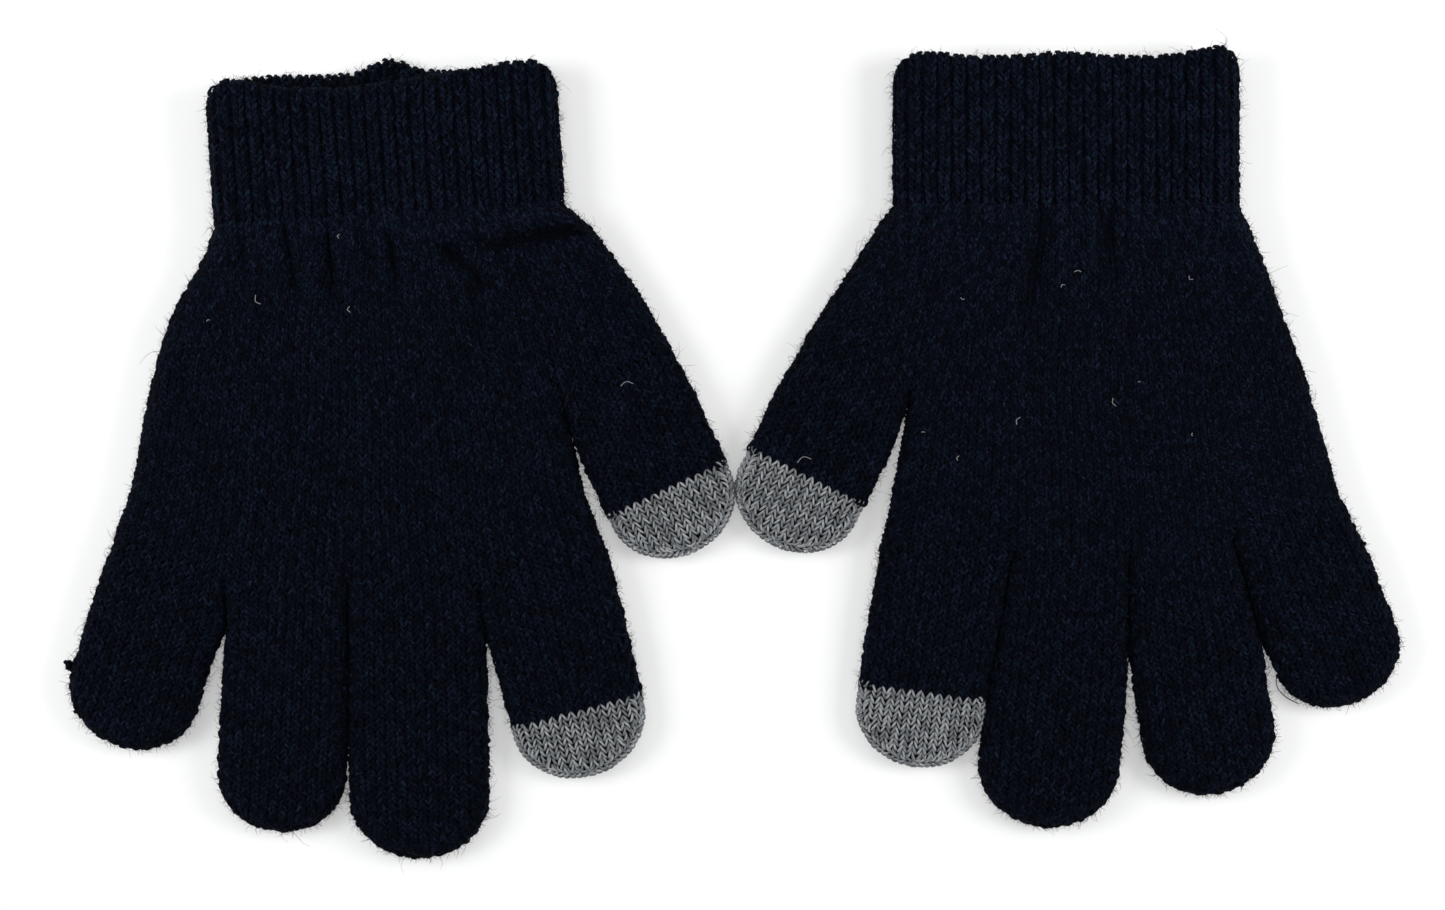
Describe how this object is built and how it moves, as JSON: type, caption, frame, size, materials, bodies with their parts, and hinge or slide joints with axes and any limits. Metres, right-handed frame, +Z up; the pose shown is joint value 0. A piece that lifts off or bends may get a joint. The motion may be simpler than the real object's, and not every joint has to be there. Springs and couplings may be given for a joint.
{
  "type": "pair of touchscreen gloves",
  "caption": "Pair of black knitted gloves lying flat, palms up, with ribbed cuffs and grey conductive caps on the thumbs and index fingers.",
  "frame": {"origin": "middle of the underside of the pair's box, on the surface that the gloves lie on", "axes": "+X from the left glove to the right glove, +Y from the fingertips to the cuffs, +Z up out of the palms"},
  "size_m": [0.319, 0.1926, 0.0114],
  "materials": {
    "black_knit": "matt fuzzy plain knit",
    "black_rib": "matt fuzzy rib knit",
    "grey_conductive_knit": "smooth plain knit of conductive yarn",
    "elastic_yarn": "covered elastic"
  },
  "bodies": {
    "left_hand_body": {"left_palm": "black_knit"},
    "left_cuff_body": {"left_cuff": "black_rib", "left_cuff_welt": "black_rib", "left_cuff_elastic": "elastic_yarn"},
    "left_little_body": {"left_little": "black_knit"},
    "left_ring_body": {"left_ring": "black_knit"},
    "left_middle_body": {"left_middle": "black_knit"},
    "left_index_body": {"left_index": "black_knit", "left_index_touch_tip": "grey_conductive_knit"},
    "left_thumb_body": {"left_thumb": "black_knit", "left_thumb_touch_tip": "grey_conductive_knit"},
    "right_hand_body": {"right_palm": "black_knit"},
    "right_cuff_body": {"right_cuff": "black_rib", "right_cuff_welt": "black_rib", "right_cuff_elastic": "elastic_yarn"},
    "right_index_body": {"right_index": "black_knit", "right_index_touch_tip": "grey_conductive_knit"},
    "right_middle_body": {"right_middle": "black_knit"},
    "right_ring_body": {"right_ring": "black_knit"},
    "right_little_body": {"right_little": "black_knit"},
    "right_thumb_body": {"right_thumb": "black_knit", "right_thumb_touch_tip": "grey_conductive_knit"}
  },
  "joints": [
    {"name": "left_wrist_bend", "type": "hinge", "parent": "left_hand_body", "child": "left_cuff_body", "pos_m": [-0.08244, 0.05759, 0.0114], "axis": [0.9979, 0.0645, 0], "range_deg": [0, 70]},
    {"name": "left_little_bend", "type": "hinge", "parent": "left_hand_body", "child": "left_little_body", "pos_m": [-0.13464, -0.02751, 0.009], "axis": [-0.9397, 0.342, 0], "range_deg": [0, 90]},
    {"name": "left_ring_bend", "type": "hinge", "parent": "left_hand_body", "child": "left_ring_body", "pos_m": [-0.10624, -0.03191, 0.009], "axis": [-0.9976, 0.0698, 0], "range_deg": [0, 90]},
    {"name": "left_middle_bend", "type": "hinge", "parent": "left_hand_body", "child": "left_middle_body", "pos_m": [-0.07634, -0.03031, 0.009], "axis": [-0.9998, -0.0174, 0], "range_deg": [0, 90]},
    {"name": "left_index_bend", "type": "hinge", "parent": "left_hand_body", "child": "left_index_body", "pos_m": [-0.04564, -0.02791, 0.009], "axis": [-0.9659, -0.2588, 0], "range_deg": [0, 90]},
    {"name": "left_thumb_bend", "type": "hinge", "parent": "left_hand_body", "child": "left_thumb_body", "pos_m": [-0.02884, 0.01969, 0.009], "axis": [-0.9063, -0.4226, 0], "range_deg": [0, 60]},
    {"name": "right_wrist_bend", "type": "hinge", "parent": "right_hand_body", "child": "right_cuff_body", "pos_m": [0.07966, 0.05979, 0.0114], "axis": [1, 0, 0], "range_deg": [0, 70]},
    {"name": "right_index_bend", "type": "hinge", "parent": "right_hand_body", "child": "right_index_body", "pos_m": [0.05076, -0.02491, 0.009], "axis": [-0.9903, 0.1392, 0], "range_deg": [0, 90]},
    {"name": "right_middle_bend", "type": "hinge", "parent": "right_hand_body", "child": "right_middle_body", "pos_m": [0.08036, -0.02501, 0.009], "axis": [-0.9976, 0.0698, 0], "range_deg": [0, 90]},
    {"name": "right_ring_bend", "type": "hinge", "parent": "right_hand_body", "child": "right_ring_body", "pos_m": [0.10656, -0.02251, 0.009], "axis": [-0.9839, -0.1788, 0], "range_deg": [0, 90]},
    {"name": "right_little_bend", "type": "hinge", "parent": "right_hand_body", "child": "right_little_body", "pos_m": [0.13196, -0.01411, 0.009], "axis": [-0.9205, -0.3907, 0], "range_deg": [0, 90]},
    {"name": "right_thumb_bend", "type": "hinge", "parent": "right_hand_body", "child": "right_thumb_body", "pos_m": [0.03046, 0.02169, 0.009], "axis": [-0.8988, 0.4384, 0], "range_deg": [0, 60]},
    {"name": "right_glove_apart", "type": "slide", "parent": "left_hand_body", "child": "right_hand_body", "axis": [1, 0, 0], "range_m": [0, 0.1]}
  ]
}
